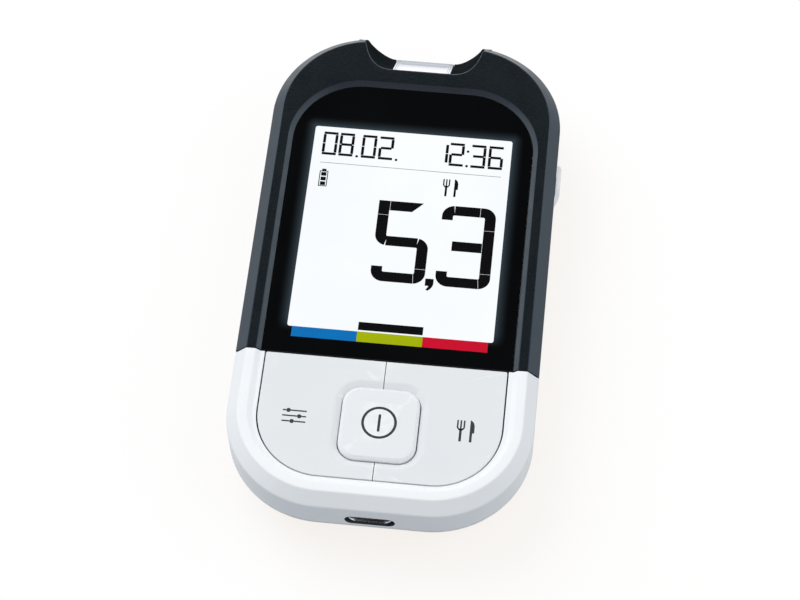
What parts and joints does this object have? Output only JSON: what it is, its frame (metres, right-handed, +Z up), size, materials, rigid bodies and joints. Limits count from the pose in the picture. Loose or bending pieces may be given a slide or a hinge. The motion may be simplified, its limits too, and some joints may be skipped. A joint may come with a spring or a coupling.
{
  "type": "blood glucose meter",
  "caption": "Hand-held blood glucose meter with a glossy display window in a black arch, white keys, a scooped test strip port, a thumb ejector and a battery door.",
  "frame": {"origin": "middle of the flat underside, under the middle of the case's outline", "axes": "+X to the right of someone reading the display, +Y along the meter towards the test strip port, +Z up out of the display"},
  "size_m": [0.0549, 0.0984, 0.017],
  "materials": {
    "white_plastic": "fine satin moulded white plastic",
    "key_plastic": "satin pale grey-white plastic",
    "black_matte": "fine-textured matte black plastic",
    "black_gloss": "polished black window",
    "display": "backlit white display",
    "lit_white": "translucent white, lit from behind",
    "inner_white": "plain natural white plastic",
    "elastomer": "layered conductive rubber",
    "board_green": "solder-masked circuit board",
    "inner_black": "black moulded parts",
    "gold_contact": "gold-plated spring contacts",
    "steel": "nickel-plated steel"
  },
  "bodies": {
    "case": {"front_cover": "white_plastic", "rear_housing": "white_plastic", "front_bezel": "black_matte", "display_lens": "black_gloss", "lcd_glass": "display", "lcd_frame": "inner_white", "lcd_backlight": "display", "lcd_connector": "elastomer", "circuit_board": "board_green", "processor": "inner_black", "clock_crystal": "steel", "set_switch": "inner_black", "mark_switch": "inner_black", "power_switch": "inner_black", "port_light_guide": "lit_white", "strip_connector": "inner_black", "strip_contact_1": "gold_contact", "strip_contact_2": "gold_contact", "strip_contact_3": "gold_contact", "port_lamp": "lit_white", "usb_shell": "steel", "usb_tongue": "inner_black", "coin_cell_left": "steel", "coin_cell_right": "steel", "battery_contact_negative": "steel", "battery_contact_positive": "steel", "screw_1": "steel", "screw_2": "steel", "screw_3": "steel", "screw_4": "steel"},
    "battery_door": {"battery_door": "white_plastic"},
    "ejector": {"ejector_slide": "white_plastic", "ejector_pusher": "inner_white"},
    "set_key": {"set_key": "key_plastic"},
    "mark_key": {"mark_key": "key_plastic"},
    "power_button": {"power_button": "key_plastic"}
  },
  "joints": [
    {"name": "set_press", "type": "slide", "parent": "case", "child": "set_key", "axis": [0, 0, -1], "range_m": [0, 0.0004], "stiffness_N_per_m": 2500},
    {"name": "mark_press", "type": "slide", "parent": "case", "child": "mark_key", "axis": [0, 0, -1], "range_m": [0, 0.0004], "stiffness_N_per_m": 2500},
    {"name": "power_press", "type": "slide", "parent": "case", "child": "power_button", "axis": [0, 0, -1], "range_m": [0, 0.0004], "stiffness_N_per_m": 2500},
    {"name": "strip_eject", "type": "slide", "parent": "case", "child": "ejector", "axis": [0, 1, 0], "range_m": [0, 0.004]},
    {"name": "door_swing", "type": "hinge", "parent": "case", "child": "battery_door", "pos_m": [0, -0.0021, 0.0003], "axis": [1, 0, 0], "range_deg": [0, 75]}
  ]
}
